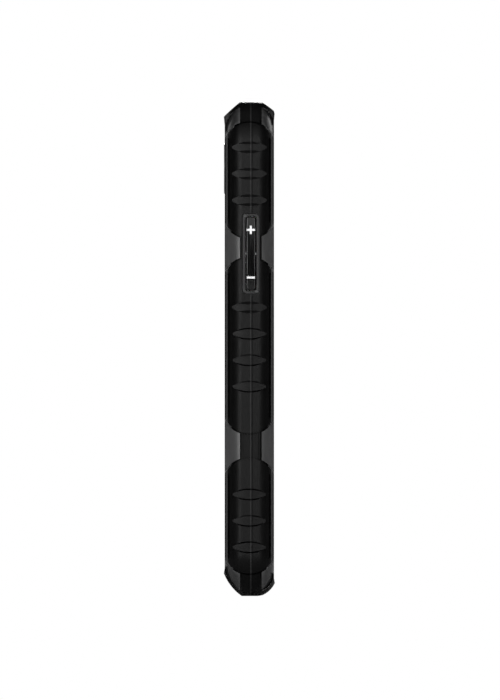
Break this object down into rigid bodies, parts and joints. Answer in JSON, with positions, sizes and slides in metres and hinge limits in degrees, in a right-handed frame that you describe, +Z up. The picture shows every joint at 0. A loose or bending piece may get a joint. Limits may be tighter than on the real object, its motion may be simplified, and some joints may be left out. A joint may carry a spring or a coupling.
{
  "type": "phone case",
  "caption": "Rugged phone case: soft inner sleeve, hard back shell and front frame, ribbed side grips, rocking volume key, power button and hinged port flaps.",
  "frame": {"origin": "middle of the width and of the depth, on the plane of the bottom end", "axes": "+Z up along the phone's length, -Y out of the screen side, +Y out of the back, -X the side of the volume rocker"},
  "size_m": [0.08, 0.0153, 0.1482],
  "materials": {
    "soft_black": "fine matte moulded TPU",
    "hard_grey": "dark grey satin polycarbonate, fine spark texture",
    "grip_rubber": "satin black rubber",
    "bezel_grey": "satin dark grey plastic, worn bright on the crest",
    "key_gloss": "polished piano black",
    "mark_white": "white inlay",
    "pin_steel": "ground steel",
    "pad_silicone": "translucent grey silicone",
    "ring_black": "semi-gloss black plastic",
    "felt_grey": "short-pile felt"
  },
  "bodies": {
    "case": {"sleeve": "soft_black", "back_shell": "hard_grey", "front_frame": "hard_grey", "grip_left_lower": "grip_rubber", "grip_left_middle": "grip_rubber", "grip_left_upper": "grip_rubber", "grip_right_lower": "grip_rubber", "grip_right_middle": "grip_rubber", "grip_right_upper": "grip_rubber", "volume_bezel": "bezel_grey", "power_bezel": "bezel_grey", "volume_pivot_pin": "pin_steel", "volume_key_pad": "pad_silicone", "power_key_pad": "pad_silicone", "camera_ring": "ring_black", "back_liner": "felt_grey"},
    "volume_rocker_body": {"volume_rocker": "key_gloss", "plus_mark": "mark_white", "minus_mark": "mark_white"},
    "power_button_body": {"power_button": "key_gloss"},
    "charging_flap_body": {"charging_flap": "soft_black"},
    "headphone_flap_body": {"headphone_flap": "soft_black"}
  },
  "joints": [
    {"name": "volume_rock", "type": "hinge", "parent": "case", "child": "volume_rocker_body", "pos_m": [-0.03885, -0.00045, 0.1027], "axis": [0, 1, 0], "range_deg": [-2, 2], "stiffness_Nm_per_rad": 0.3},
    {"name": "power_press", "type": "slide", "parent": "case", "child": "power_button_body", "axis": [-1, 0, 0], "range_m": [0, 0.0003], "stiffness_N_per_m": 3000},
    {"name": "charging_flap_hinge", "type": "hinge", "parent": "case", "child": "charging_flap_body", "pos_m": [0, 0.0011, 0.00065], "axis": [1, 0, 0], "range_deg": [0, 130], "stiffness_Nm_per_rad": 0.002},
    {"name": "headphone_flap_hinge", "type": "hinge", "parent": "case", "child": "headphone_flap_body", "pos_m": [-0.02, 0.0011, 0.14755], "axis": [-1, 0, 0], "range_deg": [0, 130], "stiffness_Nm_per_rad": 0.002}
  ]
}
